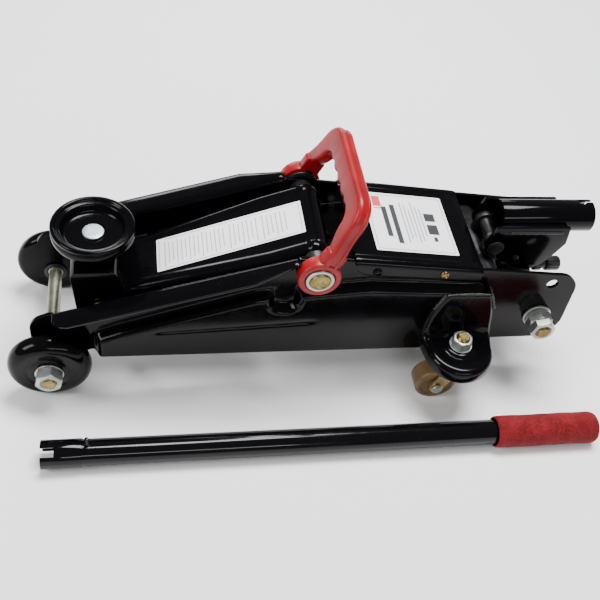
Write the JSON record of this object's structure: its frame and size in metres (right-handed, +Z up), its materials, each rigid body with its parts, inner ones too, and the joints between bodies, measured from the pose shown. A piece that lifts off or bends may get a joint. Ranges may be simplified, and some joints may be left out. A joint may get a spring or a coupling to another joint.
{
  "type": "hydraulic floor jack",
  "caption": "Low trolley jack with lifting arm, dished saddle, steel front wheels, swivel casters, carrying handle, pump socket and a loose pump lever beside it.",
  "frame": {"origin": "on the floor, at the middle of the outline of the jack and its loose lever seen from above", "axes": "+X from the saddle towards the pump socket, along the jack and the lever; +Z up; the lever lies on the -Y side"},
  "size_m": [0.477, 0.2395, 0.1916],
  "materials": {
    "gloss_black_paint": "glossy black enamel on pressed steel",
    "wheel_black": "glossy black enamel on turned wheels",
    "satin_black_paint": "satin black paint on cast and turned parts",
    "bright_zinc": "bright zinc plate",
    "yellow_zinc": "yellow passivated zinc plate",
    "chromed_rod": "ground and chromed",
    "spring_steel": "zinc plated spring wire",
    "rivet_steel": "satin light grey",
    "black_plastic": "moulded, satin",
    "amber_nylon": "moulded amber nylon, satin",
    "red_plastic": "moulded glossy red plastic",
    "red_foam": "matte closed-cell foam"
  },
  "bodies": {
    "frame": {"side_plate_left": "gloss_black_paint", "side_plate_right": "gloss_black_paint", "front_axle": "bright_zinc", "axle_clips": "bright_zinc", "front_wheel_washers": "bright_zinc", "front_wheel_nuts": "bright_zinc", "lift_arm_shaft": "yellow_zinc", "shaft_rings": "bright_zinc", "shaft_washers": "bright_zinc", "link_anchor_pins": "bright_zinc", "cover_plate": "gloss_black_paint", "cover_screws": "yellow_zinc", "cover_nuts": "yellow_zinc", "pump_block": "satin_black_paint", "oil_cylinder": "bright_zinc", "oil_reservoir": "satin_black_paint", "cylinder_gland": "bright_zinc", "oil_filler_plug": "black_plastic", "pump_barrel": "bright_zinc", "rear_frame_bolt": "bright_zinc", "rear_frame_nut": "bright_zinc", "bolt_spacers": "satin_black_paint", "frame_cross_tube": "satin_black_paint", "return_springs": "spring_steel", "plunger_spring": "spring_steel", "socket_pin": "bright_zinc", "caster_wing_left": "gloss_black_paint", "caster_wing_right": "gloss_black_paint", "caster_kingpins": "bright_zinc", "caster_nuts": "bright_zinc", "caster_races": "bright_zinc"},
    "front_wheel_left": {"front_wheel_left": "wheel_black"},
    "front_wheel_right": {"front_wheel_right": "wheel_black"},
    "caster_left": {"caster_fork_left": "yellow_zinc", "caster_axle_left": "bright_zinc"},
    "caster_right": {"caster_fork_right": "yellow_zinc", "caster_axle_right": "bright_zinc"},
    "caster_wheel_left": {"caster_wheel_left": "amber_nylon"},
    "caster_wheel_right": {"caster_wheel_right": "amber_nylon"},
    "lift_arm": {"lift_arm": "gloss_black_paint", "arm_pivot_tube": "satin_black_paint", "arm_crank": "satin_black_paint", "crank_pin": "bright_zinc", "saddle_pin": "yellow_zinc"},
    "saddle_bracket": {"saddle_bracket": "gloss_black_paint", "link_pin": "bright_zinc", "saddle_rivet": "rivet_steel"},
    "saddle": {"saddle": "gloss_black_paint"},
    "link_rods": {"link_rod_left": "gloss_black_paint", "link_rod_right": "gloss_black_paint"},
    "ram": {"ram": "chromed_rod", "ram_crosshead": "satin_black_paint"},
    "handle_socket": {"handle_socket": "gloss_black_paint", "socket_roller": "bright_zinc"},
    "pump_plunger": {"pump_plunger": "chromed_rod"},
    "release_valve": {"release_valve": "black_plastic"},
    "carry_handle": {"carry_handle": "red_plastic"},
    "lever": {"lever_tube": "gloss_black_paint", "lever_grip": "red_foam", "lever_stub": "gloss_black_paint"}
  },
  "joints": [
    {"name": "front_wheel_left_spin", "type": "hinge", "parent": "frame", "child": "front_wheel_left", "pos_m": [-0.2065, -0.03725, 0.032], "axis": [0, 1, 0], "continuous": true},
    {"name": "front_wheel_right_spin", "type": "hinge", "parent": "frame", "child": "front_wheel_right", "pos_m": [-0.2065, 0.07475, 0.032], "axis": [0, 1, 0], "continuous": true},
    {"name": "caster_left_swivel", "type": "hinge", "parent": "frame", "child": "caster_left", "pos_m": [0.1195, -0.05325, 0.05], "axis": [0, 0, 1], "continuous": true},
    {"name": "caster_right_swivel", "type": "hinge", "parent": "frame", "child": "caster_right", "pos_m": [0.1195, 0.09075, 0.05], "axis": [0, 0, 1], "continuous": true},
    {"name": "caster_wheel_left_spin", "type": "hinge", "parent": "caster_left", "child": "caster_wheel_left", "pos_m": [0.1075, -0.05325, 0.0175], "axis": [0, 1, 0], "continuous": true},
    {"name": "caster_wheel_right_spin", "type": "hinge", "parent": "caster_right", "child": "caster_wheel_right", "pos_m": [0.1075, 0.09075, 0.0175], "axis": [0, 1, 0], "continuous": true},
    {"name": "arm_lift", "type": "hinge", "parent": "frame", "child": "lift_arm", "pos_m": [-0.0055, 0.01875, 0.127], "axis": [0, 1, 0], "range_deg": [0, 65]},
    {"name": "saddle_level", "type": "hinge", "parent": "lift_arm", "child": "saddle_bracket", "pos_m": [-0.1665, 0.01875, 0.073], "axis": [0, 1, 0], "range_deg": [-65.5, 0]},
    {"name": "saddle_spin", "type": "hinge", "parent": "saddle_bracket", "child": "saddle", "pos_m": [-0.1705, 0.01875, 0.119], "axis": [0, 0, 1], "continuous": true},
    {"name": "link_swing", "type": "hinge", "parent": "frame", "child": "link_rods", "pos_m": [-0.0055, 0.01875, 0.101], "axis": [0, 1, 0], "range_deg": [0, 65.5]},
    {"name": "ram_stroke", "type": "slide", "parent": "frame", "child": "ram", "axis": [-1, 0, 0], "range_m": [0, 0.0411], "deforming": ["return_springs"]},
    {"name": "socket_pump", "type": "hinge", "parent": "frame", "child": "handle_socket", "pos_m": [0.1465, 0.01875, 0.121], "axis": [0, -1, 0], "range_deg": [0, 55]},
    {"name": "pump_stroke", "type": "slide", "parent": "frame", "child": "pump_plunger", "axis": [0, 0, 1], "range_m": [0, 0.0238], "deforming": ["plunger_spring"]},
    {"name": "valve_turn", "type": "hinge", "parent": "frame", "child": "release_valve", "pos_m": [0.2035, 0.01875, 0.081], "axis": [1, 0, 0], "range_deg": [0, 180]},
    {"name": "carry_swing", "type": "hinge", "parent": "frame", "child": "carry_handle", "pos_m": [-0.0055, 0.01875, 0.127], "axis": [0, -1, 0], "range_deg": [0, 45]},
    {"name": "lever_pick_up", "type": "slide", "parent": "frame", "child": "lever", "axis": [0, 0, 1], "range_m": [0, 0.25]}
  ],
  "couplings": [
    {"joint": "saddle_level", "follows": "arm_lift", "ratio": -1},
    {"joint": "link_swing", "follows": "arm_lift", "ratio": 1},
    {"joint": "ram_stroke", "follows": "arm_lift", "m_per_rad": 0.035995},
    {"joint": "pump_stroke", "follows": "socket_pump", "m_per_rad": 0.024548}
  ]
}
